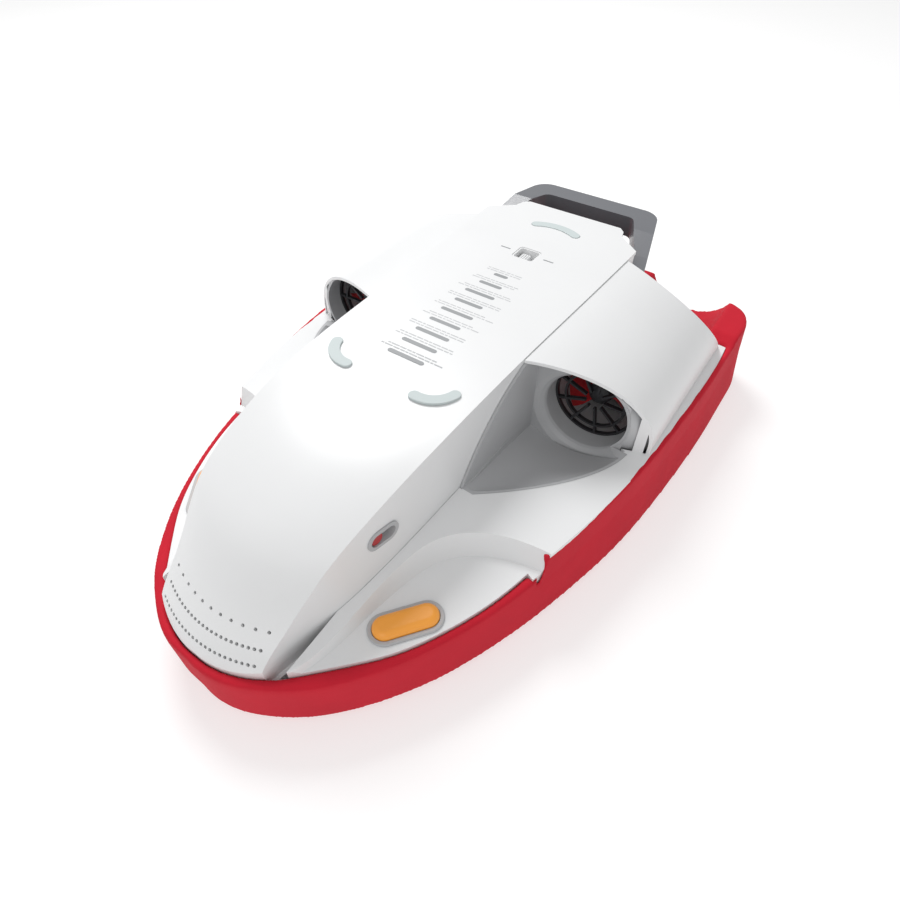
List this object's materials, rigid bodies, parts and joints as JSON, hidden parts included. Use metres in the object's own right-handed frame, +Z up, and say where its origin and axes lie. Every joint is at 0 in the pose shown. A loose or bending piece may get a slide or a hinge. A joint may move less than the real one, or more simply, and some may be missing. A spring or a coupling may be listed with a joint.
{
  "type": "underwater scooter",
  "caption": "Underwater scooter shaped as a kickboard: foam deck under a hull with ducted thrusters, thumb triggers and a slide-out battery pack with a carry handle.",
  "frame": {"origin": "on the floor, under the middle of the board's length and width", "axes": "-Y towards the nose, +Y towards the tail and its handle, +X towards the side of the power switch, +Z up from the foam deck to the hull's flat top"},
  "size_m": [0.356, 0.5225, 0.1326],
  "materials": {
    "red_foam": "closed-cell foam with a fine grain",
    "white_shell": "satin moulded plastic",
    "pale_rubber": "matt",
    "grey_plastic": "satin moulded plastic",
    "black_plastic": "fine moulded texture",
    "red_plastic": "moulded",
    "orange_plastic": "moulded, domed",
    "pale_insert": "satin",
    "grey_handle": "satin",
    "steel": "machined",
    "brass_contact": "plated",
    "cell_wrap": "shrink wrap",
    "circuit_board": "solder mask",
    "black_rubber": "matt",
    "white_foam": "closed-cell foam"
  },
  "bodies": {
    "hull": {"foam_deck": "red_foam", "lower_pan": "white_shell", "side_shell_left": "white_shell", "side_shell_right": "white_shell", "centre_cover": "white_shell", "latch_bezel": "white_shell", "front_foot_left": "pale_rubber", "front_foot_right": "pale_rubber", "rear_foot": "pale_rubber", "intake_duct_left": "grey_plastic", "intake_duct_right": "grey_plastic", "trigger_bezel_left": "grey_plastic", "trigger_bezel_right": "grey_plastic", "switch_bezel": "grey_plastic", "intake_guard_left": "black_plastic", "intake_guard_right": "black_plastic", "outlet_guard_left": "black_plastic", "outlet_guard_right": "black_plastic", "motor_pod_left": "black_plastic", "motor_pod_right": "black_plastic", "trigger_cup_left": "black_plastic", "trigger_cup_right": "black_plastic", "bay_frame": "black_plastic", "battery_sleeve": "black_plastic", "controller_box": "black_plastic", "controller_lid": "black_plastic", "switch_plate": "pale_insert", "shaft_bearings_left": "steel", "shaft_bearings_right": "steel", "trigger_spring_left": "steel", "trigger_spring_right": "steel", "drive_motor_left": "steel", "drive_motor_right": "steel", "housing_screws": "steel", "power_pins": "brass_contact", "control_board": "circuit_board", "motor_cable_left": "black_rubber", "motor_cable_right": "black_rubber", "buoyancy_block": "white_foam"},
    "propeller_left": {"propeller_left": "red_plastic", "prop_nut_left": "black_plastic", "motor_shaft_left": "steel"},
    "propeller_right": {"propeller_right": "red_plastic", "prop_nut_right": "black_plastic", "motor_shaft_right": "steel"},
    "trigger_left": {"trigger_button_left": "orange_plastic"},
    "trigger_right": {"trigger_button_right": "orange_plastic"},
    "switch": {"switch_knob": "red_plastic"},
    "latch": {"latch_slider": "white_shell"},
    "battery": {"battery_case": "black_plastic", "battery_seal": "black_rubber", "battery_cap": "black_plastic", "battery_cells": "cell_wrap", "battery_board": "circuit_board", "battery_sockets": "brass_contact", "battery_handle": "grey_handle", "handle_pins": "steel"}
  },
  "joints": [
    {"name": "propeller_left_spin", "type": "hinge", "parent": "hull", "child": "propeller_left", "pos_m": [0.108, 0.053, 0.086], "axis": [0, 1, 0], "continuous": true},
    {"name": "propeller_right_spin", "type": "hinge", "parent": "hull", "child": "propeller_right", "pos_m": [-0.108, 0.053, 0.086], "axis": [0, 1, 0], "continuous": true},
    {"name": "trigger_left_press", "type": "slide", "parent": "hull", "child": "trigger_left", "axis": [0, 0, -1], "range_m": [0, 0.003], "stiffness_N_per_m": 800, "springref_m": -0.003, "deforming": ["trigger_spring_left"]},
    {"name": "trigger_right_press", "type": "slide", "parent": "hull", "child": "trigger_right", "axis": [0, 0, -1], "range_m": [0, 0.003], "stiffness_N_per_m": 800, "springref_m": -0.003, "deforming": ["trigger_spring_right"]},
    {"name": "switch_slide", "type": "slide", "parent": "hull", "child": "switch", "axis": [0.118, 0.9834, -0.1377], "range_m": [0, 0.009]},
    {"name": "latch_slide", "type": "slide", "parent": "hull", "child": "latch", "axis": [1, 0, 0], "range_m": [0, 0.006]},
    {"name": "battery_slide", "type": "slide", "parent": "hull", "child": "battery", "axis": [0, 1, 0], "range_m": [0, 0.15]}
  ]
}
